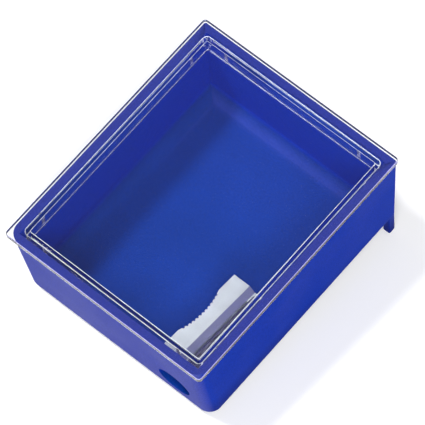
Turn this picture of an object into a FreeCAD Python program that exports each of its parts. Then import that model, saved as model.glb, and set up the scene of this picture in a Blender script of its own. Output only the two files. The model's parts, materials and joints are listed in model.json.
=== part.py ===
import FreeCAD, Part
import math
import os
import Sketcher

Vector = FreeCAD.Vector

# A pencil sharpener in a box: a moulded tray with a clear push-on lid, and inside it a metal
# wedge sharpener that faces a pencil hole in the tray's front wall. Millimetres and degrees.
# The pieces are drawn square to the tray, with +X right, +Y to the back, +Z up and the height
# counted from the tray's flat underside. The tray stands tipped on its front edge and two back feet.
SIZES = {
    # lid
    "lid_width": 57.4, "lid_length": 70.0, "lid_thickness": 1.5, "lid_corner": 0.9,
    "skirt_depth": 5.0, "skirt_wall": 1.0, "skirt_gap": 0.3, "skirt_corner": 1.2,
    "bead_radius": 0.65, "bead_gap": 0.06, "bead_inset": 9.0, "bead_short": 0.6,
    # tray
    "rim_overhang": 0.4, "tray_height": 29.2, "tray_wall": 1.95, "tray_floor": 2.0,
    "side_draft": 0.8, "back_draft": 1.1, "front_lean": 6.2,
    "outer_round": 3.4, "floor_round": 4.0,
    "back_round": 0.5, "foot_drop": 5.4, "foot_side": 2.05, "foot_round": 0.4,
    # pencil hole and the cradle that holds the sharpener
    "pencil_radius": 4.5, "pencil_height": 9.5, "pencil_inset": 10.9, "collar_wall": 1.2,
    "cradle_wall": 1.2, "cradle_height": 8.0, "stop_height": 6.6, "seat_height": 3.9,
    "block_gap": 0.5,
    # wedge sharpener
    "block_length": 25.0, "block_left": 5.6, "block_right": 7.0, "land_front": 6.4, "land_slope": 9.0,
    "entry_depth": 2.0, "cone_front": 4.1, "cone_tip": 0.8,
    "grip_depth": 1.1, "grip_radius": 23.0, "notch_radius": 0.32, "notch_count": 12, "notch_pitch": 1.05,
    "throat_left": 0.45, "throat_width": 0.9, "ramp_width": 1.5, "ramp_lip": 0.05, "seat_drop": 1.6,
    "throat_front": 3.0, "throat_back": 3.0,
    # blade and its screw
    "blade_thickness": 0.6, "blade_overhang": 0.5, "blade_margin": 1.3, "blade_front": 9.5,
    "blade_back": 13.0, "blade_bevel": 0.45, "screw_back": 11.0, "screw_side": 4.0,
    "screw_radius": 1.1, "screw_gap": 0.05, "screw_length": 4.2, "head_radius": 1.8,
    "head_height": 1.1, "head_round": 0.45, "drive_width": 0.5, "drive_depth": 0.5,
}

doc = FreeCAD.newDocument("box_sharpener")
sheet = doc.addObject("Spreadsheet::Sheet", "sizes")
for row, (alias, value) in enumerate(SIZES.items(), start=1):
    sheet.set(f"A{row}", alias)
    sheet.set(f"B{row}", str(value))
    sheet.setAlias(f"B{row}", alias)
doc.recompute()


def size(expression):
    """The value of an expression in the sheet's aliases."""
    return float(sheet.evalExpression(expression))


def wall_at(side, height, inset="0"):
    """Where a tray wall's outer face stands at a height, moved into the tray by an inset."""
    half, lean, sign = {
        "left": ("sizes.lid_width / 2", "sizes.side_draft", "-"),
        "right": ("sizes.lid_width / 2", "sizes.side_draft", ""),
        "front": ("sizes.lid_length / 2", "sizes.front_lean", "-"),
        "back": ("sizes.lid_length / 2", "sizes.back_draft", ""),
    }[side]
    run = f"(sizes.tray_height - ({height})) * tan({lean})"
    return f"{sign}({half} - sizes.rim_overhang - {run} - ({inset}))"


def new_body(label):
    body = doc.addObject("PartDesign::Body", label)
    body.Label = label
    return body


def new_sketch(body, name, role, raised="0", shift=("0", "0")):
    """An empty sketch on one of the body's origin planes, raised along the plane's normal."""
    sketch = body.newObject("Sketcher::SketchObject", name)
    plane = next(item for item in body.Origin.OriginFeatures if item.Role == role)
    sketch.AttachmentSupport = [(plane, "")]
    sketch.MapMode = "FlatFace"
    for axis, expression in zip("xyz", (*shift, raised)):
        sketch.setExpression(f"AttachmentOffset.Base.{axis}", expression)
    return sketch


def pin_point(sketch, curve, end, name, point):
    """Ties one point of a curve to two expressions."""
    for kind, letter, expression in zip(("DistanceX", "DistanceY"), "xy", point):
        index = sketch.addConstraint(
            Sketcher.Constraint(kind, -1, 1, curve, end, sketch_value(sketch, expression)))
        sketch.renameConstraint(index, f"{name}_{letter}")
        sketch.setExpression(f"Constraints.{name}_{letter}", expression)


def sketch_value(sketch, expression):
    return float(sketch.evalExpression(expression))


def draw_outline(sketch, points):
    """A closed outline of straight sides whose corners are expressions."""
    first = sketch.GeometryCount
    count = len(points)
    corners = [Vector(sketch_value(sketch, x), sketch_value(sketch, y), 0) for x, y in points]
    for number, corner in enumerate(corners):
        sketch.addGeometry(Part.LineSegment(corner, corners[(number + 1) % count]), False)
    for number in range(count):
        following = first + (number + 1) % count
        sketch.addConstraint(Sketcher.Constraint("Coincident", first + number, 2, following, 1))
        pin_point(sketch, first + number, 1, f"p{first + number}", points[number])


def draw_rectangle(sketch, left, right, low, high):
    draw_outline(sketch, [(left, low), (right, low), (right, high), (left, high)])


def draw_circle(sketch, centre, radius):
    spot = Vector(sketch_value(sketch, centre[0]), sketch_value(sketch, centre[1]), 0)
    curve = sketch.addGeometry(
        Part.Circle(spot, Vector(0, 0, 1), sketch_value(sketch, radius)), False)
    pin_point(sketch, curve, 3, f"c{curve}", centre)
    index = sketch.addConstraint(
        Sketcher.Constraint("Radius", curve, sketch_value(sketch, radius)))
    sketch.renameConstraint(index, f"c{curve}_r")
    sketch.setExpression(f"Constraints.c{curve}_r", radius)


def extrude(body, kind, name, sketch, length, backwards=False):
    """A Pad or Pocket of a sketch; a Pocket has to take material away."""
    before = body.Shape.Volume if body.Tip else 0.0
    feature = body.newObject(f"PartDesign::{kind}", name)
    feature.Profile = sketch
    feature.setExpression("Length", length)
    feature.Reversed = backwards
    doc.recompute()
    grown = body.Shape.Volume - before
    if (kind == "Pad") != (grown > 0):
        raise RuntimeError(f"{name} changed the volume by {grown:.3f}")
    return feature


def dress(body, kind, name, chosen, style=None, **sizes):
    """A Fillet or Chamfer on the edges of the body that a test chooses."""
    base = body.Tip
    names = [f"Edge{number}" for number, edge in enumerate(base.Shape.Edges, start=1) if chosen(edge)]
    if not names:
        raise RuntimeError(f"{name} found no edges")
    feature = body.newObject(f"PartDesign::{kind}", name)
    feature.Base = (base, names)
    if style:
        feature.ChamferType = style
    for key, expression in sizes.items():
        feature.setExpression(key, expression)
    doc.recompute()
    return feature


def spans(edge, axis, low, high, slack=0.02):
    """Whether every end of an edge lies between two coordinates on an axis."""
    values = [getattr(vertex.Point, axis) for vertex in edge.Vertexes]
    return min(values) > low - slack and max(values) < high + slack


def rises(edge):
    """Whether an edge climbs most of the tray's height."""
    values = [vertex.Point.z for vertex in edge.Vertexes]
    return max(values) - min(values) > 0.5 * size("sizes.tray_height")


def crosses(edge):
    """Whether an edge runs straight across the tray."""
    return abs(edge.tangentAt(edge.FirstParameter).x) > 0.999


def profile_rib(body, name, points, start, width):
    """A rib whose side view is an outline, running across the tray from a start for a width."""
    sketch = new_sketch(body, f"{name}_profile", "YZ_Plane", start)
    draw_outline(sketch, points)
    return extrude(body, "Pad", name, sketch, width)


def drafted_block(body, name, low, inset):
    """A block between the tray's leaning walls, from a height up to the rim."""
    profile_rib(body, name, [
        (wall_at("front", low, inset), low), (wall_at("back", low, inset), low),
        (wall_at("back", RIM, inset), RIM), (wall_at("front", RIM, inset), RIM),
    ], wall_at("left", RIM, inset), f"{wall_at('right', RIM, inset)} - {wall_at('left', RIM, inset)}")
    for side in ("left", "right"):
        draft = new_sketch(body, f"{name}_{side}_draft", "XZ_Plane", "sizes.lid_length / 2")
        draw_outline(draft, [(wall_at(side, low, inset), low), (wall_at(side, RIM, inset), RIM),
                             (wall_at(side, RIM, inset), low)])
        extrude(body, "Pocket", f"{name}_{side}", draft, "sizes.lid_length")


# Places that several pieces share.
RIM = "sizes.tray_height"
AXIS_X = "(sizes.lid_width / 2 - sizes.pencil_inset)"
AXIS_Z = "sizes.pencil_height"
SEAT = "sizes.seat_height"
COLLAR = "(sizes.pencil_radius + sizes.collar_wall)"
BLOCK_FRONT = f"({wall_at('front', SEAT, 'sizes.tray_wall')} + sizes.block_gap)"
BLOCK_BACK = f"({BLOCK_FRONT} + sizes.block_length)"
BLOCK_LEFT = f"({AXIS_X} - sizes.block_left)"
BLOCK_RIGHT = f"({AXIS_X} + sizes.block_right)"


# Ribs inside the tray reach this share of the way through its walls and floor.
ROOT_SHARE = 0.8
ROOTED = f"sizes.tray_wall * {ROOT_SHARE}"
SUNK = f"sizes.tray_floor * {ROOT_SHARE}"

# Bounds for picking edges: farther than any piece reaches, a little slack, and a long edge.
FAR = 1000
SLACK = 0.05
LONG = 5


def wall_root(height):
    """Where a rib starts inside the front wall at a height."""
    return wall_at("front", height, ROOTED)


def land_at(depth, drop="0"):
    """Height of the sharpener's sloping top, a depth behind its front face, lowered by a drop."""
    return f"({AXIS_Z} + sizes.land_front - ({depth}) * tan(sizes.land_slope) - ({drop}))"


SCREW_X = f"({AXIS_X} + sizes.screw_side)"
SCREW_Y = f"({BLOCK_FRONT} + sizes.screw_back)"
SCREW_Z = land_at("sizes.screw_back", "sizes.seat_drop")


def make_cavity():
    """The space inside the tray, as a solid."""
    body = new_body("tray_cavity")
    drafted_block(body, "inner", "sizes.tray_floor", "sizes.tray_wall")
    floor_z = size("sizes.tray_floor")
    dress(body, "Fillet", "floor_edges", lambda e: spans(e, "z", floor_z, floor_z),
          Radius="sizes.floor_round")
    return body


def make_foot(side):
    """A square post with rounded edges under a back corner, as a solid."""
    body = new_body(f"{side}_foot")
    outer, back = wall_at(side, "0"), wall_at("back", "0")
    inner = wall_at(side, "0", "sizes.foot_side")
    left, right = (outer, inner) if side == "left" else (inner, outer)
    post = new_sketch(body, f"{side}_foot_outline", "XY_Plane", "-sizes.foot_drop")
    draw_rectangle(post, left, right, wall_at("back", "0", "sizes.foot_side"), back)
    extrude(body, "Pad", f"{side}_foot_post", post, "sizes.foot_drop + sizes.outer_round")
    top = size("sizes.outer_round")
    dress(body, "Fillet", f"{side}_foot_edges", lambda e: not spans(e, "z", top, top),
          Radius="sizes.foot_round")
    return body


def make_tray():
    body = new_body("tray")
    drafted_block(body, "outer", "0", "0")
    back_line = size(wall_at("back", "0"))
    dress(body, "Fillet", "outer_edges",
          lambda e: (rises(e) and spans(e, "y", -FAR, 0))
          or (spans(e, "z", 0, 0) and not spans(e, "y", back_line, back_line)),
          Radius="sizes.outer_round")

    back_rim = size(wall_at("back", RIM))
    dress(body, "Fillet", "back_edges", lambda e: rises(e) and spans(e, "y", 0, back_rim),
          Radius="sizes.back_round")
    feet = body.newObject("PartDesign::Boolean", "feet")
    feet.Type = "Fuse"
    feet.setObjects([make_foot(side) for side in ("left", "right")])
    body.Tip = feet
    doc.recompute()

    hollow = body.newObject("PartDesign::Boolean", "hollow")
    hollow.Type = "Cut"
    hollow.setObjects([make_cavity()])
    body.Tip = hollow
    doc.recompute()

    collar_top = f"{AXIS_Z} + {COLLAR}"
    profile_rib(body, "collar", [
        (wall_root(SUNK), SUNK), (BLOCK_FRONT, SUNK),
        (BLOCK_FRONT, collar_top), (wall_root(collar_top), collar_top),
    ], f"{AXIS_X} - {COLLAR}", f"2 * {COLLAR}")
    hole = new_sketch(body, "pencil_hole_circle", "XZ_Plane")
    draw_circle(hole, (AXIS_X, AXIS_Z), "sizes.pencil_radius")
    extrude(body, "Pocket", "pencil_hole", hole, "sizes.lid_length", backwards=True)

    cradle_back = f"({BLOCK_BACK} + sizes.cradle_wall)"
    profile_rib(body, "seat", [
        (wall_root(SUNK), SUNK), (cradle_back, SUNK), (cradle_back, "sizes.stop_height"),
        (BLOCK_BACK, "sizes.stop_height"), (BLOCK_BACK, SEAT), (wall_root(SEAT), SEAT),
    ], f"{BLOCK_LEFT} - sizes.cradle_wall", "sizes.block_left + sizes.block_right + 2 * sizes.cradle_wall")
    cheek = [(wall_root(SUNK), SUNK), (cradle_back, SUNK), (cradle_back, "sizes.cradle_height"),
             (wall_root("sizes.cradle_height"), "sizes.cradle_height")]
    profile_rib(body, "left_cheek", cheek, f"{BLOCK_LEFT} - sizes.cradle_wall", "sizes.cradle_wall")
    profile_rib(body, "right_cheek", cheek, BLOCK_RIGHT,
                f"{wall_at('right', 'sizes.tray_floor', ROOTED)} - {BLOCK_RIGHT}")
    return body


def make_lid():
    body = new_body("lid")
    panel = new_sketch(body, "panel_outline", "XY_Plane", RIM)
    draw_rectangle(panel, "-sizes.lid_width / 2", "sizes.lid_width / 2",
                   "-sizes.lid_length / 2", "sizes.lid_length / 2")
    extrude(body, "Pad", "panel", panel, "sizes.lid_thickness")
    dress(body, "Fillet", "panel_corners", lambda e: abs(e.tangentAt(e.FirstParameter).z) > 0.9,
          Radius="sizes.lid_corner")

    skirt_low = f"{RIM} - sizes.skirt_depth"
    gap = "sizes.tray_wall + sizes.skirt_gap"
    sides = {side: wall_at(side, skirt_low, gap) for side in ("left", "right", "front", "back")}
    skirt = new_sketch(body, "skirt_outline", "XY_Plane", RIM)
    draw_rectangle(skirt, *sides.values())
    draw_rectangle(skirt, *[wall_at(side, skirt_low, f"{gap} + sizes.skirt_wall") for side in sides])
    extrude(body, "Pad", "skirt", skirt, "sizes.skirt_depth", backwards=True)
    half = size(sides["right"]) - SLACK
    rim_z = size(RIM)
    dress(body, "Fillet", "skirt_corners",
          lambda e: spans(e, "z", rim_z - FAR, rim_z) and abs(e.tangentAt(e.FirstParameter).z) > 0.9
          and abs(e.CenterOfMass.x) > half,
          Radius="sizes.skirt_corner")

    beads = new_sketch(body, "bead_circles", "XY_Plane", RIM)
    sunk = "(sizes.bead_radius - sizes.skirt_gap + sizes.bead_gap)"
    for sign in ("-", ""):
        along_x = f"{sign}(sizes.lid_width / 2 - sizes.bead_inset)"
        along_y = f"{sign}(sizes.lid_length / 2 - sizes.bead_inset)"
        for side, inwards in (("left", "+"), ("right", "-")):
            draw_circle(beads, (f"{sides[side]} {inwards} {sunk}", along_y), "sizes.bead_radius")
        for side, inwards in (("front", "+"), ("back", "-")):
            draw_circle(beads, (along_x, f"{sides[side]} {inwards} {sunk}"), "sizes.bead_radius")
    extrude(body, "Pad", "beads", beads, "sizes.skirt_depth - sizes.bead_short", backwards=True)
    return body


def make_block():
    body = new_body("sharpener_block")
    wedge = new_sketch(body, "wedge_profile", "YZ_Plane", BLOCK_LEFT)
    draw_outline(wedge, [(BLOCK_FRONT, SEAT), (BLOCK_BACK, SEAT),
                         (BLOCK_BACK, land_at("sizes.block_length")), (BLOCK_FRONT, land_at("0"))])
    extrude(body, "Pad", "wedge", wedge, "sizes.block_left + sizes.block_right")

    middle = f"{BLOCK_FRONT} + sizes.block_length / 2"
    reach = "(sizes.grip_radius - sizes.grip_depth)"
    grips = (("left", f"{BLOCK_LEFT} - {reach}", "1"), ("right", f"{BLOCK_RIGHT} + {reach}", "-1"))
    for name, centre, facing in grips:
        grip = new_sketch(body, f"{name}_grip_circle", "XY_Plane", shift=(centre, middle))
        draw_circle(grip, ("0", "0"), "sizes.grip_radius")
        extrude(body, "Pocket", f"{name}_grip", grip, "sizes.lid_length", backwards=True)
        swing = "(sizes.notch_count - 1) * sizes.notch_pitch / sizes.grip_radius * 180 / pi"
        notch = new_sketch(body, f"{name}_notch_circle", "XY_Plane", shift=(centre, middle))
        draw_circle(notch, (f"{facing} * sizes.grip_radius * cos({swing} / 2)",
                            f"-{facing} * sizes.grip_radius * sin({swing} / 2)"), "sizes.notch_radius")
        cut = extrude(body, "Pocket", f"{name}_notch", notch, "sizes.lid_length", backwards=True)
        row = body.newObject("PartDesign::PolarPattern", f"{name}_notches")
        row.Originals = [cut]
        row.Axis = (notch, ["N_Axis"])
        row.setExpression("Angle", swing)
        row.setExpression("Occurrences", "sizes.notch_count")
        body.Tip = row
        doc.recompute()

    bore = new_sketch(body, "bore_profile", "YZ_Plane", AXIS_X, shift=("0", AXIS_Z))
    past = "sizes.block_gap"
    shoulder = f"{BLOCK_FRONT} + sizes.entry_depth"
    draw_outline(bore, [
        (f"{BLOCK_FRONT} - {past}", "0"), (f"{BLOCK_BACK} + {past}", "0"),
        (f"{BLOCK_BACK} + {past}", "sizes.cone_tip"),
        (f"{BLOCK_BACK} - sizes.entry_depth", "sizes.cone_tip"),
        (shoulder, "sizes.cone_front"), (shoulder, "sizes.pencil_radius"),
        (f"{BLOCK_FRONT} - {past}", "sizes.pencil_radius"),
    ])
    cone = body.newObject("PartDesign::Groove", "bore")
    cone.Profile = bore
    cone.ReferenceAxis = (bore, ["H_Axis"])
    cone.Angle = 360
    doc.recompute()

    above = "sizes.land_front + sizes.block_length"
    seat = new_sketch(body, "seat_profile", "YZ_Plane", f"{AXIS_X} + sizes.throat_left")
    draw_outline(seat, [
        (BLOCK_FRONT, land_at("0", "sizes.seat_drop")),
        (BLOCK_BACK, land_at("sizes.block_length", "sizes.seat_drop")),
        (BLOCK_BACK, land_at("0", f"-({above})")), (BLOCK_FRONT, land_at("0", f"-({above})")),
    ])
    extrude(body, "Pocket", "blade_seat", seat, "sizes.block_right", backwards=True)
    edge_x = size(f"{AXIS_X} + sizes.throat_left")
    land_low = size(land_at("sizes.block_length", "sizes.seat_drop / 2"))
    dress(body, "Chamfer", "ramp",
          lambda e: spans(e, "x", edge_x, edge_x) and spans(e, "z", land_low, FAR) and e.Length > LONG,
          style="Two distances", Size="sizes.ramp_width", Size2="sizes.seat_drop - sizes.ramp_lip")

    throat = new_sketch(body, "throat_outline", "XY_Plane", AXIS_Z)
    throat_left = f"{AXIS_X} + sizes.throat_left"
    draw_rectangle(throat, throat_left, f"{throat_left} + sizes.throat_width",
                   f"{BLOCK_FRONT} + sizes.throat_front", f"{BLOCK_BACK} - sizes.throat_back")
    extrude(body, "Pocket", "throat", throat, "sizes.land_front", backwards=True)

    thread = new_sketch(body, "thread_circle", "XY_Plane", SCREW_Z, shift=(SCREW_X, SCREW_Y))
    lean_back(thread)
    draw_circle(thread, ("0", "0"), "sizes.screw_radius + sizes.screw_gap")
    extrude(body, "Pocket", "thread_hole", thread, "sizes.screw_length + sizes.screw_gap")
    return body


def lean_back(sketch):
    """Turns a level sketch to lie along the sharpener's sloping top."""
    sketch.AttachmentOffset = FreeCAD.Placement(
        sketch.AttachmentOffset.Base, FreeCAD.Rotation(Vector(1, 0, 0), -size("sizes.land_slope")))
    sketch.setExpression("AttachmentOffset.Rotation.Angle", "-sizes.land_slope")


def make_blade():
    """The blade, drawn flat with its screw hole at the origin and its underside at height 0."""
    body = new_body("blade")
    plate = new_sketch(body, "plate_outline", "XY_Plane")
    edge = "sizes.throat_left + sizes.throat_width - sizes.blade_overhang - sizes.screw_side"
    draw_rectangle(plate, edge, "sizes.block_right - sizes.blade_margin - sizes.screw_side",
                   "-sizes.blade_front", "sizes.blade_back")
    draw_circle(plate, ("0", "0"), "sizes.screw_radius + sizes.screw_gap")
    extrude(body, "Pad", "plate", plate, "sizes.blade_thickness")
    edge_x = size(edge)
    top = size("sizes.blade_thickness")
    dress(body, "Chamfer", "cutting_edge",
          lambda e: spans(e, "x", edge_x, edge_x) and spans(e, "z", top, top),
          style="Two distances", Size="sizes.blade_bevel", Size2="sizes.blade_thickness - sizes.ramp_lip")
    return body


def make_screw():
    """The blade's screw, drawn upright on the origin with its shank through the blade."""
    body = new_body("blade_screw")
    profile = new_sketch(body, "screw_profile", "XZ_Plane")
    under = "sizes.blade_thickness"
    crown = "sizes.blade_thickness + sizes.head_height"
    draw_outline(profile, [
        ("0", "-sizes.screw_length"), ("sizes.screw_radius", "-sizes.screw_length"),
        ("sizes.screw_radius", under), ("sizes.head_radius", under),
        ("sizes.head_radius", crown), ("0", crown),
    ])
    turned = body.newObject("PartDesign::Revolution", "turned")
    turned.Profile = profile
    turned.ReferenceAxis = (profile, ["V_Axis"])
    turned.Angle = 360
    doc.recompute()
    top = size(crown)
    dress(body, "Fillet", "head_edge", lambda e: spans(e, "z", top, top), Radius="sizes.head_round")
    drive = new_sketch(body, "drive_outline", "XY_Plane", crown)
    draw_rectangle(drive, "-sizes.head_radius", "sizes.head_radius",
                   "-sizes.drive_width / 2", "sizes.drive_width / 2")
    extrude(body, "Pocket", "drive_slot", drive, "sizes.drive_depth")
    return body


def roundings(shape):
    """Middle (y, z) and radius of the rounded edges that run across the tray."""
    for face in shape.Faces:
        surface = face.Surface
        if isinstance(surface, Part.Cylinder) and abs(surface.Axis.x) > 0.999:
            yield surface.Center.y, surface.Center.z, surface.Radius


def standing(tray_shape):
    """The turn that sets the tray on its front edge and back feet, in degrees."""
    rounds = list(roundings(tray_shape))
    front = min((r for r in rounds if abs(r[2] - size("sizes.outer_round")) < 0.01), key=lambda r: r[0])
    turns = []
    for y, z, radius in rounds:
        across = y - front[0]
        down = front[1] - z
        if z < 0:
            apart = math.hypot(across, down)
            turns.append(math.atan2(down, across) - math.asin((front[2] - radius) / apart))
    return math.degrees(max(turns))


tray = make_tray()
lid = make_lid()
block = make_block()
blade = make_blade()
screw = make_screw()
pieces = [tray, lid, block, blade, screw]

# The blade and its screw lie on the sharpener's sloping seat.
seat_spot = Vector(size(SCREW_X), size(SCREW_Y), size(SCREW_Z))
on_seat = FreeCAD.Placement(seat_spot, FreeCAD.Rotation(Vector(1, 0, 0), -size("sizes.land_slope")))
blade.Placement = on_seat
screw.Placement = on_seat
doc.recompute()

# The whole is tipped onto its feet, with the origin under the middle of its box.
tip = FreeCAD.Placement(Vector(), FreeCAD.Rotation(Vector(1, 0, 0), standing(tray.Shape)))
for piece in pieces:
    piece.Placement = tip * piece.Placement
doc.recompute()
box = Part.makeCompound([tray.Shape, lid.Shape]).optimalBoundingBox(False)
drop = FreeCAD.Placement(Vector(-box.Center.x, -box.Center.y, -box.ZMin), FreeCAD.Rotation())
for piece in pieces:
    piece.Placement = drop * piece.Placement
doc.recompute()

for item in doc.Objects:
    if "Invalid" in item.State or "Error" in item.State:
        raise RuntimeError(f"{item.Label} is {item.State}")
os.makedirs("parts", exist_ok=True)
for piece in pieces:
    shape = piece.Shape
    if shape.isNull() or not shape.isValid() or len(shape.Solids) != 1:
        raise RuntimeError(f"{piece.Label} is not one sound solid")
    shape.exportStep(f"parts/{piece.Label}.step")
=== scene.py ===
import json
import math
from typing import NamedTuple

import bmesh
import bpy
from bpy.props import FloatProperty, FloatVectorProperty, IntProperty, PointerProperty
from mathutils import Matrix, Vector


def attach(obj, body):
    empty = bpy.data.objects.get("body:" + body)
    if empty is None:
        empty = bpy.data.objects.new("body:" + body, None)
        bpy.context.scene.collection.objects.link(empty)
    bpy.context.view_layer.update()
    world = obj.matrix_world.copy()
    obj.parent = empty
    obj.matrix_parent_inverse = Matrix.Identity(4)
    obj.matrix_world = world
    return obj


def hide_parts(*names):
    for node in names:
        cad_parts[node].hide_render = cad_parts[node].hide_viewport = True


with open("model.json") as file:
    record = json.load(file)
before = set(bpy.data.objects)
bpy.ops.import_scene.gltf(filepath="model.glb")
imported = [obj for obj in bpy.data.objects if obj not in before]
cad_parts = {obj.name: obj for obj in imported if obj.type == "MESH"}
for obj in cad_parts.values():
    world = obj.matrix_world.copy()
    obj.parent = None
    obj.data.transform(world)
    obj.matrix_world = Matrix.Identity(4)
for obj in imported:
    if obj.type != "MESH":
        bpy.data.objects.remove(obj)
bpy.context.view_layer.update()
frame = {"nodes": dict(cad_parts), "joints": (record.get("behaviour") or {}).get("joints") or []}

# Camera: picture side in pixels, sensor width in millimetres, far limit in metres
IMAGE_SIDE = 425
SENSOR_WIDTH = 36.0
FAR_LIMIT = 20.0

# Meshes: gaps in metres, angles in radians, and the most corners that a finished face has
MERGE_GAP = 2e-6
SAME_PLACE = 1e-7
FIRST_INSET = 0.0005
FLAT_ANGLE = math.radians(0.4)
SHARP_ANGLE = math.radians(32)
SMOOTH_ANGLE = math.radians(40)
MOST_CORNERS = 4

# Material slots of a piece
FACE_SLOT, ROUNDING_SLOT, BEAD_SLOT = range(3)

# Lid: faces round each upright corner, and sides of a bead before it is cut
PANEL_CORNER_STEPS = 5
SKIRT_CORNER_STEPS = 6
INNER_CORNER_STEPS = 4
BEAD_SIDES = 24

# Lid: how far a bead's flat back stands off the skirt, and how wide the panel's outer edge is, in metres
BEAD_GAP = 5e-6
OUTER_BAND = 0.0012

# Finishes: sizes of their fine patterns, in metres
TRAY_CLOUD = 0.016
LID_SCUFF = 0.0009
LID_WAVE = 0.018
EDGE_WEAR = 0.0015
BEAD_STREAK = 0.0006
CAST_SAND = 0.00022
CAST_STAIN = 0.003
GRINDING_LINE = 0.00025
PAPER_FIBRE = 0.0012

# Finishes: places on the tray where painted shade and painted sheen begin and where they are full, in
# metres
WALL_FOOT = (0.010, 0.002)
RIM_HEIGHT = (0.020, 0.024)
FLOOR_BACK = (0.010, 0.020)
FRONT_WALL = (-0.024, -0.029)

# Finishes: how far the tray's roughness strays from its middle
ROUGHNESS_SPREAD = 0.06

# Finishes: sockets of a Mix node that mixes colours
MIX_FACTOR, MIX_FIRST, MIX_SECOND, MIX_RESULT = 0, 6, 7, 2

WHITE = (1.0, 1.0, 1.0, 1.0)

bl_info = {
    "name": "Box Pencil Sharpener",
    "version": (1, 0, 0),
    "blender": (4, 5, 0),
    "location": "View3D > Sidebar > Sharpener",
    "description": "Finishes a box pencil sharpener: blue tray, clear lid and metal wedge sharpener",
    "category": "Object",
}


# Settings

class TraySettings(bpy.types.PropertyGroup):
    """Moulded blue tray."""
    edge: FloatProperty(
        name="Edge Rounding", description="Rounding of the tray's sharp edges",
        default=0.00022, min=0.0, precision=5, unit="LENGTH")
    edge_steps: IntProperty(
        name="Edge Steps", description="Faces across each rounded edge", default=2, min=1, max=6)
    colour: FloatVectorProperty(
        name="Colour", description="Blue of the moulded plastic", subtype="COLOR",
        size=3, default=(0.0035, 0.0345, 0.2600), min=0.0, max=1.0)
    pale: FloatVectorProperty(
        name="Pale Colour", description="Slightly paler blue in broad clouds", subtype="COLOR",
        size=3, default=(0.0055, 0.0450, 0.3450), min=0.0, max=1.0)
    # Painted light: a brighter blue on steep faces, for the light that falls on the walls
    lit_wall: FloatVectorProperty(
        name="Wall Colour", description="Blue of the standing walls", subtype="COLOR",
        size=3, default=(0.0035, 0.0400, 0.4900), min=0.0, max=1.0)
    # Painted sheen: a greyer blue on the rim's top, for light reflected there
    rim_sheen: FloatVectorProperty(
        name="Rim Colour", description="Duller blue of the rim", subtype="COLOR",
        size=3, default=(0.0220, 0.0340, 0.2500), min=0.0, max=1.0)
    # Painted shade: a darker blue low on the walls
    foot_shade: FloatVectorProperty(
        name="Deep Colour", description="Deeper blue low on the walls", subtype="COLOR",
        size=3, default=(0.0080, 0.0200, 0.2300), min=0.0, max=1.0)
    # Painted sheen: a paler blue on the front wall, and a painted highlight along the fillet at the back
    # of the floor
    front: FloatVectorProperty(
        name="Front Colour", subtype="COLOR",
        description="Paler blue of the front wall and of a streak at the back of the floor",
        size=3, default=(0.0830, 0.1040, 0.5400), min=0.0, max=1.0)
    roughness: FloatProperty(
        name="Roughness", description="Middle roughness of the moulded surface",
        default=0.46, min=0.0, max=1.0, subtype="FACTOR")
    grain: FloatProperty(
        name="Grain", description="Size of the moulded surface's fine grain",
        default=0.00035, min=0.00001, precision=5, unit="LENGTH")


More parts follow.
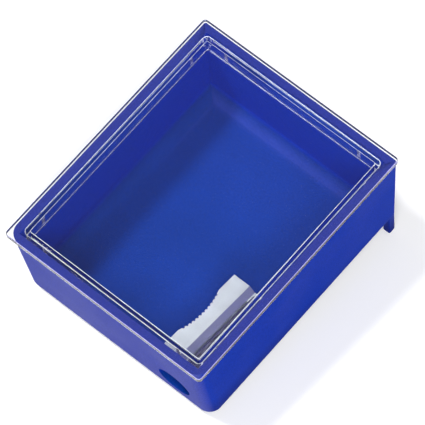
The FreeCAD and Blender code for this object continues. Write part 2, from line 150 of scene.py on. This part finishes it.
class LidSettings(bpy.types.PropertyGroup):
    """Clear push-on lid."""
    thickness: FloatProperty(
        name="Thickness", description="Thickness of the flat panel",
        default=0.0015, min=0.0002, precision=5, unit="LENGTH")
    corner: FloatProperty(
        name="Corner", description="Rounding of the panel's upright corners",
        default=0.0009, min=0.0001, precision=5, unit="LENGTH")
    side_inset: FloatProperty(
        name="Side Inset", description="From the panel's side edge to the skirt",
        default=0.00272, min=0.0, precision=5, unit="LENGTH")
    front_inset: FloatProperty(
        name="Front Inset", description="From the panel's front edge to the skirt",
        default=0.003193, min=0.0, precision=5, unit="LENGTH")
    back_inset: FloatProperty(
        name="Back Inset", description="From the panel's back edge to the skirt",
        default=0.002746, min=0.0, precision=5, unit="LENGTH")
    skirt_wall: FloatProperty(
        name="Skirt Wall", description="Thickness of the skirt",
        default=0.001, min=0.0002, precision=5, unit="LENGTH")
    skirt_corner: FloatProperty(
        name="Skirt Corner", description="Rounding of the skirt's upright corners",
        default=0.0012, min=0.0001, precision=5, unit="LENGTH")
    bead_radius: FloatProperty(
        name="Bead Radius", description="Radius of the small beads on the skirt",
        default=0.00065, min=0.0001, precision=5, unit="LENGTH")
    bead_sunk: FloatProperty(
        name="Bead Sunk", description="From the skirt's outer face to a bead's middle",
        default=0.00041, min=0.0, precision=5, unit="LENGTH")
    bead_inset: FloatProperty(
        name="Bead Inset", description="From the panel's corner to a bead",
        default=0.009, min=0.0, precision=5, unit="LENGTH")
    bead_short: FloatProperty(
        name="Bead Short", description="How much shorter a bead is than the skirt",
        default=0.0006, min=0.0, precision=5, unit="LENGTH")
    edge: FloatProperty(
        name="Edge Rounding", description="Rounding of the lid's sharp edges",
        default=0.00022, min=0.0, precision=5, unit="LENGTH")
    edge_steps: IntProperty(
        name="Edge Steps", description="Faces across each rounded edge", default=2, min=1, max=6)
    colour: FloatVectorProperty(
        name="Colour", description="Tint of the clear plastic", subtype="COLOR",
        size=3, default=(0.97, 0.975, 0.985), min=0.0, max=1.0)
    # Painted highlight: near-white on the lid's rounded edges, for light caught in the clear edges
    edge_highlight: FloatVectorProperty(
        name="Edge Colour", description="Colour of the light that the lid's edges scatter",
        subtype="COLOR", size=3, default=(0.90, 0.96, 1.00), min=0.0, max=1.0)
    # Painted highlight and refraction: pale violet with dark streaks, for the tray's blue and the glints
    # seen in the beads
    bead_highlight: FloatVectorProperty(
        name="Bead Colour", description="Colour seen in the beads", subtype="COLOR",
        size=3, default=(0.70, 0.69, 0.98), min=0.0, max=1.0)
    # Painted refraction: lilac on the front and right edges
    lilac_edge_refraction: FloatVectorProperty(
        name="Lilac Edge", description="Colour of the front and right edges", subtype="COLOR",
        size=3, default=(0.48, 0.46, 0.88), min=0.0, max=1.0)
    # Painted refraction: dark on the left and back edges
    dark_edge_refraction: FloatVectorProperty(
        name="Dark Edge", description="Colour of the left and back edges", subtype="COLOR",
        size=3, default=(0.030, 0.035, 0.080), min=0.0, max=1.0)
    edge_clear: FloatProperty(
        name="Edge Clearness", description="How far the lid's edges and beads let light through",
        default=0.12, min=0.0, max=1.0, subtype="FACTOR")
    bending: FloatProperty(
        name="Index of Refraction", description="How far the clear plastic bends light",
        default=1.49, min=1.0, max=2.5)


class MetalSettings(bpy.types.PropertyGroup):
    """Wedge sharpener, blade and screw."""
    edge: FloatProperty(
        name="Edge Rounding", description="Rounding of the cast block's sharp edges",
        default=0.00015, min=0.0, precision=5, unit="LENGTH")
    edge_steps: IntProperty(
        name="Edge Steps", description="Faces across each rounded edge", default=2, min=1, max=6)
    cast: FloatVectorProperty(
        name="Cast Metal", description="Colour of the cast block", subtype="COLOR",
        size=3, default=(0.69, 0.74, 0.78), min=0.0, max=1.0)
    # Painted shade and painted reflection: a darker, bluer metal on the ramp, which faces right, away
    # from the key light
    ramp_shade: FloatVectorProperty(
        name="Milled Metal", description="Colour of the block's milled ramp", subtype="COLOR",
        size=3, default=(0.40, 0.41, 0.58), min=0.0, max=1.0)
    # Painted reflection: a darker, bluer steel, for the tray's blue reflected in the blade and screw
    steel_and_reflection: FloatVectorProperty(
        name="Steel", description="Colour of the blade and its screw", subtype="COLOR",
        size=3, default=(0.25, 0.24, 0.40), min=0.0, max=1.0)


class StageSettings(bpy.types.PropertyGroup):
    """Floor, light and camera."""
    floor_colour: FloatVectorProperty(
        name="Floor", description="Colour of the pale floor", subtype="COLOR",
        size=3, default=(0.95, 0.95, 0.95), min=0.0, max=1.0)
    bounce: FloatProperty(
        name="Bounce", description="Share of the light that the floor throws back at the object",
        default=0.3, min=0.0, max=1.0, subtype="FACTOR")
    glow: FloatProperty(
        name="Glow", description="White that the floor adds where it is looked at",
        default=0.15, min=0.0, max=1.0)
    floor_side: FloatProperty(
        name="Floor Side", description="Width of the floor", default=4.0, min=0.1, unit="LENGTH")
    sky: FloatProperty(
        name="Sky", description="Strength of the light from overhead", default=0.20, min=0.0)
    sky_low: FloatProperty(
        name="White Sky", description="Height over the horizon up to which the sky is white",
        default=math.radians(5), subtype="ANGLE")
    sky_high: FloatProperty(
        name="Dim Sky", description="Height over the horizon from which the sky is dim",
        default=math.radians(24), subtype="ANGLE")
    key: FloatProperty(
        name="Key Light", description="Power of the small high light from the left",
        default=11.5, min=0.0, unit="POWER")
    key_width: FloatProperty(
        name="Key Width", description="Width of the key light", default=0.22, min=0.01, unit="LENGTH")
    key_place: FloatVectorProperty(
        name="Key Place", description="Where the key light stands", subtype="XYZ",
        size=3, default=(-0.49, -0.34, 1.26), unit="LENGTH")
    fill: FloatProperty(
        name="Fill Light", description="Power of the large soft light from the front right",
        default=14.0, min=0.0, unit="POWER")
    fill_width: FloatProperty(
        name="Fill Width", description="Width of the fill light", default=0.8, min=0.01, unit="LENGTH")
    fill_place: FloatVectorProperty(
        name="Fill Place", description="Where the fill light stands", subtype="XYZ",
        size=3, default=(0.60, -0.60, 1.05), unit="LENGTH")
    azimuth: FloatProperty(
        name="Azimuth", description="Camera's turn about the upright axis",
        default=math.radians(38.9289), subtype="ANGLE")
    elevation: FloatProperty(
        name="Elevation", description="Camera's height above the horizon",
        default=math.radians(60.7653), subtype="ANGLE")
    roll: FloatProperty(
        name="Roll", description="Camera's turn about its own axis",
        default=math.radians(1.4137), subtype="ANGLE")
    distance: FloatProperty(
        name="Distance", description="From the camera to the point it looks at",
        default=1.012614, min=0.01, precision=5, unit="LENGTH")
    aim: FloatVectorProperty(
        name="Aim", description="Point in the middle of the picture", subtype="XYZ",
        size=3, default=(0.0038847, -0.0020434, 0.0313224), precision=5, unit="LENGTH")
    focal_pixels: FloatProperty(
        name="Focal Length", description="Camera's focal length in picture pixels",
        default=4500.0, min=1.0)


class SharpenerSettings(bpy.types.PropertyGroup):
    """All settings of the part."""
    tray: PointerProperty(type=TraySettings)
    lid: PointerProperty(type=LidSettings)
    metal: PointerProperty(type=MetalSettings)
    stage: PointerProperty(type=StageSettings)


def settings():
    """The scene's settings of the part."""
    return bpy.context.scene.box_sharpener


# Meshes

class Outline(NamedTuple):
    """A level rectangle, by the places of its four sides."""
    left: float
    right: float
    front: float
    back: float

    def inset(self, side, front, back):
        """A smaller outline, by how far its sides, front and back lie inside this one."""
        return Outline(self.left + side, self.right - side, self.front + front, self.back - back)


def tipped_box(node):
    """The turn of the tipped tray, and the corners of a CAD node's box square to it."""
    up = Vector(frame["joints"][0]["axis"])
    turn = Matrix.Rotation(math.atan2(-up.y, up.z), 4, "X")
    square = [turn.inverted() @ vertex.co for vertex in frame["nodes"][node].data.vertices]
    low = Vector([min(spot[axis] for spot in square) for axis in range(3)])
    high = Vector([max(spot[axis] for spot in square) for axis in range(3)])
    return turn, low, high


def bevel(bm, edges, width, steps):
    """Rounds some edges and returns the new faces."""
    return bmesh.ops.bevel(
        bm, geom=edges, offset=width, offset_type="OFFSET", segments=steps, profile=0.5,
        affect="EDGES", clamp_overlap=True, material=-1)["faces"]


def round_sharp_edges(bm, width, steps):
    """Rounds every sharp edge and gives the roundings a material slot of their own."""
    chosen = [edge for edge in bm.edges
              if len(edge.link_faces) == 2 and edge.calc_face_angle(0.0) > SHARP_ANGLE]
    if not chosen:
        raise RuntimeError("there are no sharp edges to round")
    for face in bm.faces:
        face.material_index = FACE_SLOT
    for face in bevel(bm, chosen, width, steps):
        face.material_index = ROUNDING_SLOT


def new_object(name, bm, old_mesh=None):
    """An object of a finished bmesh, whose roundings are shaded apart from its faces."""
    mesh = old_mesh or bpy.data.meshes.new(name)
    bmesh.ops.triangulate(bm, faces=[face for face in bm.faces if len(face.verts) > MOST_CORNERS])
    for face in bm.faces:
        face.smooth = True
    for edge in bm.edges:
        slots = {face.material_index for face in edge.link_faces}
        edge.smooth = len(slots) == 1 and edge.calc_face_angle(0.0) < SMOOTH_ANGLE
    bm.to_mesh(mesh)
    bm.free()
    if mesh.has_custom_normals:
        mesh.attributes.remove(mesh.attributes["custom_normal"])
    obj = bpy.data.objects.new(name, mesh)
    bpy.context.scene.collection.objects.link(obj)
    return obj


def rounded_copy(node, name, width, steps):
    """A copy of a CAD node whose sharp edges are rounded."""
    mesh = frame["nodes"][node].data.copy()
    mesh.name = name
    mesh.materials.clear()
    bm = bmesh.new()
    bm.from_mesh(mesh)
    bmesh.ops.remove_doubles(bm, verts=bm.verts, dist=MERGE_GAP)
    bmesh.ops.dissolve_limit(bm, angle_limit=FLAT_ANGLE, verts=bm.verts, edges=bm.edges)
    round_sharp_edges(bm, width, steps)
    obj = new_object(name, bm, mesh)
    shading = obj.modifiers.new("even_faces", "WEIGHTED_NORMAL")
    shading.mode = "FACE_AREA"
    shading.keep_sharp = True
    return obj


def inset_face(bm, face, outline):
    """Insets a level face by any small step, then moves its corners to an outline."""
    middle = face.calc_center_median()
    bmesh.ops.inset_individual(bm, faces=[face], thickness=FIRST_INSET, use_even_offset=True)
    for vertex in face.verts:
        vertex.co.x = outline.left if vertex.co.x < middle.x else outline.right
        vertex.co.y = outline.front if vertex.co.y < middle.y else outline.back


def push_face(bm, face, rise):
    """Extrudes a level face up or down and returns the new face at its end."""
    end = bmesh.ops.extrude_discrete_faces(bm, faces=[face])["faces"][0]
    bmesh.ops.translate(bm, verts=end.verts, vec=(0.0, 0.0, rise))
    return end


def near(value, *choices):
    """Whether a value is the same as one of the choices."""
    return min(abs(value - choice) for choice in choices) < SAME_PLACE


def upright_edges(bm, outline, height):
    """The upright edges of a height that stand at an outline's corners."""
    chosen = []
    for edge in bm.edges:
        one, two = (vertex.co for vertex in edge.verts)
        at_corner = near(one.x, outline.left, outline.right) and near(one.y, outline.front, outline.back)
        upright = near((one - two).xy.length, 0.0)
        if at_corner and upright and near(abs(one.z - two.z), height):
            chosen.append(edge)
    return chosen


def bead_spots(panel, skirt, inset):
    """Where the beads stand on the skirt, two on each side, and the way each one faces."""
    for x, outward in ((skirt.left, -1), (skirt.right, 1)):
        for y in (panel.front + inset, panel.back - inset):
            yield Vector((x, y)), Vector((outward, 0))
    for y, outward in ((skirt.front, -1), (skirt.back, 1)):
        for x in (panel.left + inset, panel.right - inset):
            yield Vector((x, y)), Vector((0, outward))


def add_bead(bm, values, spot, outward, low, high):
    """An upright bead on the skirt's outer face at a spot: the outer part of a cylinder."""
    bead = bmesh.new()
    bmesh.ops.create_cone(
        bead, cap_ends=True, segments=BEAD_SIDES, radius1=values.bead_radius,
        radius2=values.bead_radius, depth=high - low)
    centre = spot - outward * values.bead_sunk
    bmesh.ops.translate(bead, verts=bead.verts, vec=(*centre, (low + high) / 2))
    bmesh.ops.bisect_plane(
        bead, geom=bead.verts[:] + bead.edges[:] + bead.faces[:],
        plane_co=(*(spot + outward * BEAD_GAP), 0.0), plane_no=(*outward, 0.0), clear_inner=True)
    bmesh.ops.holes_fill(bead, edges=bead.edges)
    bmesh.ops.recalc_face_normals(bead, faces=bead.faces)
    for face in bead.faces:
        face.material_index = BEAD_SLOT
    mesh = bpy.data.meshes.new("bead")
    bead.to_mesh(mesh)
    bead.free()
    bm.from_mesh(mesh)
    bpy.data.meshes.remove(mesh)


def make_lid(values):
    """Panel, flange and skirt as one closed moulding, with beads along the skirt."""
    turn, low, high = tipped_box("lid")
    middle = (low + high) / 2
    under = high.z - values.thickness
    skirt_height = under - low.z
    panel = Outline(low.x, high.x, low.y, high.y)
    outer = panel.inset(values.side_inset, values.front_inset, values.back_inset)
    inner = outer.inset(values.skirt_wall, values.skirt_wall, values.skirt_wall)

    bm = bmesh.new()
    bmesh.ops.create_cube(bm, size=1.0)
    bmesh.ops.scale(bm, verts=bm.verts, vec=(high.x - low.x, high.y - low.y, values.thickness))
    bmesh.ops.translate(bm, verts=bm.verts, vec=(middle.x, middle.y, high.z - values.thickness / 2))
    face = min(bm.faces, key=lambda face: face.calc_center_median().z)
    inset_face(bm, face, outer)
    face = push_face(bm, face, -skirt_height)
    inset_face(bm, face, inner)
    push_face(bm, face, skirt_height)
    bmesh.ops.recalc_face_normals(bm, faces=bm.faces)

    bevel(bm, upright_edges(bm, panel, high.z - under), values.corner, PANEL_CORNER_STEPS)
    bevel(bm, upright_edges(bm, outer, skirt_height), values.skirt_corner, SKIRT_CORNER_STEPS)
    bevel(bm, upright_edges(bm, inner, skirt_height), values.skirt_corner / 2, INNER_CORNER_STEPS)
    round_sharp_edges(bm, values.edge, values.edge_steps)
    for spot, outward in bead_spots(panel, outer, values.bead_inset):
        add_bead(bm, values, spot, outward, low.z + values.bead_short, under)
    bmesh.ops.transform(bm, matrix=turn, verts=bm.verts)
    return new_object("lid_moulding", bm)


# Nodes

def feed(tree, socket, source):
    """Gives a socket a plain value, or links another socket to it."""
    if isinstance(source, bpy.types.NodeSocket):
        tree.links.new(source, socket)
    else:
        socket.default_value = source


def add_node(tree, kind, inputs=None, **options):
    """A new node with its options set and its inputs fed."""
    node = tree.nodes.new(kind)
    for name, value in options.items():
        setattr(node, name, value)
    for name, source in (inputs or {}).items():
        feed(tree, node.inputs[name], source)
    return node


def opaque(colour):
    """A plain colour with full opacity, or a socket as it is."""
    return colour if isinstance(colour, bpy.types.NodeSocket) else (*colour, 1.0)


class Finish:
    """A material built up from nodes around one Principled shader."""

    def __init__(self, name):
        self.material = bpy.data.materials.new(name)
        self.material.use_nodes = True
        self.tree = self.material.node_tree
        self.shader = self.tree.nodes["Principled BSDF"]
        coordinates = self.add("ShaderNodeTexCoord")
        self.place = coordinates.outputs["Object"]
        self.facing = coordinates.outputs["Normal"]

    def add(self, kind, inputs=None, **options):
        """A new node in this material."""
        return add_node(self.tree, kind, inputs, **options)

    def put(self, name, source):
        """Gives an input of the shader a plain value or a link."""
        feed(self.tree, self.shader.inputs[name], source)

    def noise(self, size, detail, stretch=(1.0, 1.0, 1.0)):
        """Cloudy noise whose spots are about a size across, in metres."""
        mapping = self.add("ShaderNodeMapping", {
            "Vector": self.place, "Scale": [part / size for part in stretch]})
        noise = self.add("ShaderNodeTexNoise", {
            "Vector": mapping.outputs["Vector"], "Scale": 1.0, "Detail": detail})
        return noise.outputs["Fac"]

    def blend(self, factor, low, high, first, second):
        """A colour that goes from first to second as a factor goes from low to high."""
        ramp = self.add("ShaderNodeValToRGB", {"Fac": factor})
        start, end = ramp.color_ramp.elements
        start.position, end.position = low, high
        start.color, end.color = opaque(first), opaque(second)
        return ramp.outputs["Color"]

    def mottle(self, factor, low, high, colour, share):
        """A colour that is darkened to a share where a factor is low, and is full where it is high."""
        return self.blend(factor, low, high, [share * part for part in colour], colour)

    def span(self, factor, low, high, first, second):
        """A value that goes from first to second as a factor goes from low to high."""
        span = self.add("ShaderNodeMapRange", {
            "Value": factor, "From Min": low, "From Max": high, "To Min": first, "To Max": second})
        return span.outputs["Result"]

    def mask(self, factor, begin, full, share=1.0):
        """A mask that grows from nothing to a share as a factor goes from begin to full."""
        return self.span(factor, begin, full, 0.0, share)

    def split(self, vector):
        """The x, y and z parts of a vector."""
        return self.add("ShaderNodeSeparateXYZ", {"Vector": vector}).outputs

    def compute(self, operation, *values, clamp=False):
        """The result of one arithmetic step."""
        step = self.add("ShaderNodeMath", dict(enumerate(values)), operation=operation, use_clamp=clamp)
        return step.outputs["Value"]

    def mix(self, factor, first, second, blend_type="MIX"):
        """A colour made of two, each of them a socket or a plain colour."""
        inputs = {MIX_FACTOR: factor, MIX_FIRST: opaque(first), MIX_SECOND: opaque(second)}
        node = self.add("ShaderNodeMix", inputs, data_type="RGBA", blend_type=blend_type)
        return node.outputs[MIX_RESULT]

    def tint(self, colour, other, *masks):
        """A colour that turns into another where all the masks hold."""
        factor = masks[0]
        for mask in masks[1:]:
            factor = self.compute("MULTIPLY", factor, mask)
        return self.mix(factor, colour, other)

    def relief(self, height, depth, strength):
        """Bumps of a depth in metres."""
        bump = self.add("ShaderNodeBump", {"Height": height, "Distance": depth, "Strength": strength})
        return bump.outputs["Normal"]


def dress(obj, faces, roundings=None, beads=None):
    """Fills a piece's material slots: its faces, its roundings and its beads."""
    for finish in (faces, roundings or faces, beads):
        if finish is not None:
            obj.data.materials.append(finish.material)


def dress_node(node, finish):
    """Gives a CAD node one finish all over."""
    obj = frame["nodes"][node]
    if not obj.material_slots:
        obj.data.materials.append(finish.material)
    for slot in obj.material_slots:
        slot.material = finish.material


# Finishes: a facing is a part of a face's unit normal, from -1 to 1

def tray_plastic(values):
    """Blue moulded plastic with a fine grain, with painted light and shade by place and by the way a
    face points.
    """
    finish = Finish("tray_plastic")
    grain = finish.noise(values.grain, detail=3.0)
    clouds = finish.noise(TRAY_CLOUD, detail=2.0)
    place, facing = finish.split(finish.place), finish.split(finish.facing)

    steep = finish.mask(finish.compute("ABSOLUTE", facing["Z"]), begin=0.45, full=0.15)
    level = finish.mask(facing["Z"], begin=0.5, full=0.9)
    frontal = finish.mask(facing["Y"], begin=-0.50, full=-0.95)
    curled_forward = finish.mask(facing["Y"], begin=-0.05, full=-0.40)
    curled_up = finish.mask(facing["Z"], begin=0.30, full=0.80, share=0.20)
    at_foot = finish.mask(place["Z"], *WALL_FOOT, share=0.9)
    at_rim = finish.mask(place["Z"], *RIM_HEIGHT)
    at_back = finish.mask(place["Y"], *FLOOR_BACK)
    at_front = finish.mask(place["Y"], *FRONT_WALL, share=0.9)

    colour = finish.blend(clouds, low=0.30, high=0.90, first=values.colour, second=values.pale)
    # Painted light: steep faces turn a brighter blue
    colour = finish.tint(colour, values.lit_wall, steep)
    # Painted shade low on the walls
    colour = finish.tint(colour, values.foot_shade, steep, at_foot)
    # Painted sheen on the rim's top
    colour = finish.tint(colour, values.rim_sheen, at_rim, level)
    # Painted highlight along the fillet at the back of the floor
    colour = finish.tint(colour, values.front, curled_forward, curled_up, at_back)
    # Painted sheen on the front wall
    colour = finish.tint(colour, values.front, frontal, at_front)
    lightness = finish.span(grain, low=0.30, high=0.70, first=0.82, second=1.16)
    finish.put("Base Color", finish.mix(1.0, colour, lightness, blend_type="MULTIPLY"))

    smooth, rough = values.roughness - ROUGHNESS_SPREAD, values.roughness + ROUGHNESS_SPREAD
    finish.put("Roughness", finish.span(clouds, low=0.3, high=0.7, first=smooth, second=rough))
    finish.put("Specular IOR Level", 0.012)
    finish.put("Normal", finish.relief(grain, depth=0.000012, strength=0.6))
    return finish


def lid_plastic(values):
    """Clear plastic, a little scuffed on its faces."""
    finish = Finish("lid_plastic")
    scuffs = finish.noise(LID_SCUFF, detail=4.0, stretch=(1.0, 0.25, 1.0))
    waves = finish.noise(LID_WAVE, detail=1.0)
    finish.put("Base Color", opaque(values.colour))
    finish.put("Transmission Weight", 1.0)
    finish.put("IOR", values.bending)
    finish.put("Roughness", finish.span(scuffs, low=0.5, high=0.8, first=0.0, second=0.06))
    finish.put("Normal", finish.relief(waves, depth=0.00003, strength=0.15))
    return finish


def lid_edge(values, lid):
    """The lid's edges: a painted highlight round the skirt, painted lilac refraction at front and right,
    painted dark refraction at left and back.
    """
    finish = Finish("lid_edge")
    worn = finish.noise(EDGE_WEAR, detail=3.0)
    place = finish.split(finish.place)
    low, high = Vector(lid.bound_box[0]), Vector(lid.bound_box[6])
    half = OUTER_BAND / 2
    left = finish.mask(place["X"], begin=low.x + OUTER_BAND, full=low.x + half)
    right = finish.mask(place["X"], begin=high.x - OUTER_BAND, full=high.x - half)
    front = finish.mask(place["Y"], begin=low.y + OUTER_BAND, full=low.y + half)
    back = finish.mask(place["Y"], begin=high.y - OUTER_BAND, full=high.y - half)
    # Painted highlight on the rounded edges, mottled at random
    colour = finish.mottle(worn, low=0.35, high=0.65, colour=values.edge_highlight, share=0.78)
    # Painted lilac refraction on the front and right edges
    colour = finish.tint(colour, values.lilac_edge_refraction, finish.compute("MAXIMUM", right, front))
    # Painted dark refraction on the left and back edges
    colour = finish.tint(colour, values.dark_edge_refraction, finish.compute("MAXIMUM", left, back))
    finish.put("Base Color", colour)
    finish.put("Transmission Weight", values.edge_clear)
    finish.put("IOR", values.bending)
    finish.put("Roughness", finish.span(worn, low=0.3, high=0.7, first=0.25, second=0.45))
    finish.put("Normal", finish.relief(worn, depth=0.00002, strength=0.3))
    return finish


def lid_bead(values):
    """The beads under the flange: a painted highlight, and the tray's blue painted in as refraction."""
    finish = Finish("lid_bead")
    streaks = finish.noise(BEAD_STREAK, detail=3.0)
    # Painted highlight, darkened in streaks, for the tray's blue and glints seen in the beads
    colour = finish.mottle(streaks, low=0.40, high=0.60, colour=values.bead_highlight, share=0.15)
    finish.put("Base Color", colour)
    finish.put("Transmission Weight", values.edge_clear)
    finish.put("IOR", values.bending)
    finish.put("Roughness", finish.span(streaks, low=0.3, high=0.7, first=0.15, second=0.30))
    finish.put("Normal", finish.relief(streaks, depth=0.00006, strength=0.6))
    return finish


def cast_metal(values):
    """Pale cast metal with a fine sandy skin, and painted shade and reflection on the ramp."""
    finish = Finish("cast_metal")
    sand = finish.noise(CAST_SAND, detail=3.0)
    stain = finish.noise(CAST_STAIN, detail=3.0)
    facing = finish.split(finish.facing)
    slanted = finish.mask(facing["X"], begin=0.25, full=0.45)
    upward = finish.mask(facing["Z"], begin=0.20, full=0.40)
    colour = finish.mottle(stain, low=0.35, high=0.65, colour=values.cast, share=0.92)
    # Painted shade and painted reflection on faces that turn right and up, the ramp
    finish.put("Base Color", finish.tint(colour, values.ramp_shade, slanted, upward))
    finish.put("Metallic", 0.3)
    finish.put("Roughness", finish.span(stain, low=0.3, high=0.7, first=0.38, second=0.52))
    finish.put("Normal", finish.relief(sand, depth=0.00002, strength=0.5))
    return finish


def ground_steel(name, values, stretch):
    """Steel with fine grinding lines, in a colour with a painted reflection of the tray's blue."""
    finish = Finish(name)
    lines = finish.noise(GRINDING_LINE, detail=2.0, stretch=stretch)
    # Painted reflection of the tray's blue in the steel's colour
    colour = finish.mottle(lines, low=0.3, high=0.7, colour=values.steel_and_reflection, share=0.85)
    finish.put("Base Color", colour)
    finish.put("Metallic", 1.0)
    finish.put("Roughness", finish.span(lines, low=0.3, high=0.7, first=0.22, second=0.36))
    finish.put("Normal", finish.relief(lines, depth=0.000003, strength=0.3))
    return finish


def floor_paper(values):
    """Pale paper that shows white where it is looked at and throws less light back at the object."""
    finish = Finish("floor_paper")
    fibres = finish.noise(PAPER_FIBRE, detail=3.0)
    seen = finish.mottle(fibres, low=0.3, high=0.7, colour=values.floor_colour, share=0.99)
    path = finish.add("ShaderNodeLightPath").outputs
    rays = finish.compute("ADD", path["Is Camera Ray"], path["Is Glossy Ray"])
    rays = finish.compute("ADD", rays, path["Is Transmission Ray"], clamp=True)
    finish.put("Base Color", finish.mix(rays, [values.bounce] * 3, seen))
    finish.put("Emission Color", WHITE)
    finish.put("Emission Strength", finish.mask(rays, begin=0.0, full=1.0, share=values.glow))
    finish.put("Roughness", 0.9)
    finish.put("Specular IOR Level", 0.0)
    return finish


# Stage

def lay_floor(scene, values):
    """A level square of paper under the object."""
    mesh = bpy.data.meshes.new("floor")
    bm = bmesh.new()
    bmesh.ops.create_grid(bm, x_segments=8, y_segments=8, size=values.floor_side / 2)
    bm.to_mesh(mesh)
    bm.free()
    floor = bpy.data.objects.new("floor", mesh)
    scene.collection.objects.link(floor)
    floor.data.materials.append(floor_paper(values).material)


def light_sky(scene, values):
    """A sky that is white along the horizon and dim overhead."""
    scene.world = bpy.data.worlds.new("studio")
    scene.world.use_nodes = True
    tree = scene.world.node_tree
    direction = add_node(tree, "ShaderNodeTexCoord").outputs["Generated"]
    height = add_node(tree, "ShaderNodeSeparateXYZ", {"Vector": direction}).outputs["Z"]
    strength = add_node(tree, "ShaderNodeMapRange", {
        "Value": height, "From Min": math.sin(values.sky_low), "From Max": math.sin(values.sky_high),
        "To Min": 1.0, "To Max": values.sky}, interpolation_type="SMOOTHSTEP").outputs["Result"]
    sky = tree.nodes["Background"]
    feed(tree, sky.inputs["Color"], WHITE)
    feed(tree, sky.inputs["Strength"], strength)


def add_lamp(scene, name, power, width, place):
    """A round lamp that looks at the object."""
    lamp = bpy.data.lights.new(name, "AREA")
    lamp.energy = power
    lamp.shape = "DISK"
    lamp.size = width
    holder = bpy.data.objects.new(name, lamp)
    holder.location = place
    holder.rotation_euler = (-holder.location).to_track_quat("-Z", "Y").to_euler()
    scene.collection.objects.link(holder)


def set_camera(scene, values):
    """A camera that looks at the aim from an azimuth and an elevation, and is rolled a little."""
    turn, rise = values.azimuth, values.elevation
    back = Vector((math.sin(turn) * math.cos(rise), -math.cos(turn) * math.cos(rise), math.sin(rise)))
    level = Vector((math.cos(turn), math.sin(turn), 0.0))
    upright = back.cross(level)
    right = level * math.cos(values.roll) + upright * math.sin(values.roll)
    up = upright * math.cos(values.roll) - level * math.sin(values.roll)
    lens = bpy.data.cameras.new("camera")
    lens.sensor_width = SENSOR_WIDTH
    lens.lens = values.focal_pixels * SENSOR_WIDTH / IMAGE_SIDE
    lens.clip_end = FAR_LIMIT
    camera = bpy.data.objects.new("camera", lens)
    place = Matrix.Translation(values.aim + back * values.distance)
    camera.matrix_world = place @ Matrix((right, up, back)).transposed().to_4x4()
    scene.collection.objects.link(camera)
    scene.camera = camera


# Operators and panel

class SHARPENER_OT_tray(bpy.types.Operator):
    """Make the blue tray with softly rounded edges"""
    bl_idname = "sharpener.tray"
    bl_label = "Tray"

    def execute(self, context):
        values = settings().tray
        tray = rounded_copy("tray", "tray_moulding", values.edge, values.edge_steps)
        dress(tray, tray_plastic(values))
        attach(tray, "tray")
        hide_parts("tray")
        return {"FINISHED"}


class SHARPENER_OT_lid(bpy.types.Operator):
    """Make the clear lid with softly rounded edges"""
    bl_idname = "sharpener.lid"
    bl_label = "Lid"

    def execute(self, context):
        values = settings().lid
        lid = make_lid(values)
        dress(lid, lid_plastic(values), lid_edge(values, lid), lid_bead(values))
        # The clear lid doesn't darken the tray under it
        lid.visible_shadow = False
        lid.visible_diffuse = False
        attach(lid, "lid")
        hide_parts("lid")
        return {"FINISHED"}


class SHARPENER_OT_wedge(bpy.types.Operator):
    """Make the cast wedge sharpener with softly rounded edges"""
    bl_idname = "sharpener.wedge"
    bl_label = "Wedge Sharpener"

    def execute(self, context):
        values = settings().metal
        wedge = rounded_copy("sharpener_block", "wedge_casting", values.edge, values.edge_steps)
        dress(wedge, cast_metal(values))
        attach(wedge, "tray")
        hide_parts("sharpener_block")
        return {"FINISHED"}


class SHARPENER_OT_blade(bpy.types.Operator):
    """Finish the steel blade and its screw"""
    bl_idname = "sharpener.blade"
    bl_label = "Blade and Screw"

    def execute(self, context):
        values = settings().metal
        dress_node("blade", ground_steel("blade_steel", values, stretch=(1.0, 0.05, 1.0)))
        dress_node("blade_screw", ground_steel("screw_steel", values, stretch=(1.0, 1.0, 0.3)))
        return {"FINISHED"}


class SHARPENER_OT_stage(bpy.types.Operator):
    """Lay the pale floor and set the light and the camera"""
    bl_idname = "sharpener.stage"
    bl_label = "Stage"

    def execute(self, context):
        values = settings().stage
        lay_floor(context.scene, values)
        light_sky(context.scene, values)
        add_lamp(context.scene, "key", values.key, values.key_width, values.key_place)
        add_lamp(context.scene, "fill", values.fill, values.fill_width, values.fill_place)
        set_camera(context.scene, values)
        context.scene.view_settings.view_transform = "Standard"
        return {"FINISHED"}


class SHARPENER_PT_panel(bpy.types.Panel):
    """Lists the part's pieces and their settings"""
    bl_idname = "SHARPENER_PT_panel"
    bl_label = "Box Pencil Sharpener"
    bl_space_type = "VIEW_3D"
    bl_region_type = "UI"
    bl_category = "Sharpener"

    def draw(self, context):
        values = context.scene.box_sharpener
        for operator, group in ((SHARPENER_OT_tray, values.tray), (SHARPENER_OT_lid, values.lid),
                                (SHARPENER_OT_wedge, values.metal), (SHARPENER_OT_blade, None),
                                (SHARPENER_OT_stage, values.stage)):
            box = self.layout.box()
            box.operator(operator.bl_idname)
            if group is not None:
                for name in group.__annotations__:
                    box.prop(group, name)


CLASSES = (
    TraySettings, LidSettings, MetalSettings, StageSettings, SharpenerSettings,
    SHARPENER_OT_tray, SHARPENER_OT_lid, SHARPENER_OT_wedge, SHARPENER_OT_blade, SHARPENER_OT_stage,
    SHARPENER_PT_panel,
)


def register():
    for item in CLASSES:
        bpy.utils.register_class(item)
    bpy.types.Scene.box_sharpener = PointerProperty(type=SharpenerSettings)


def unregister():
    del bpy.types.Scene.box_sharpener
    for item in reversed(CLASSES):
        bpy.utils.unregister_class(item)


def main():
    register()
    bpy.ops.sharpener.tray()
    bpy.ops.sharpener.lid()
    bpy.ops.sharpener.wedge()
    bpy.ops.sharpener.blade()
    bpy.ops.sharpener.stage()


if __name__ == "__main__":
    main()
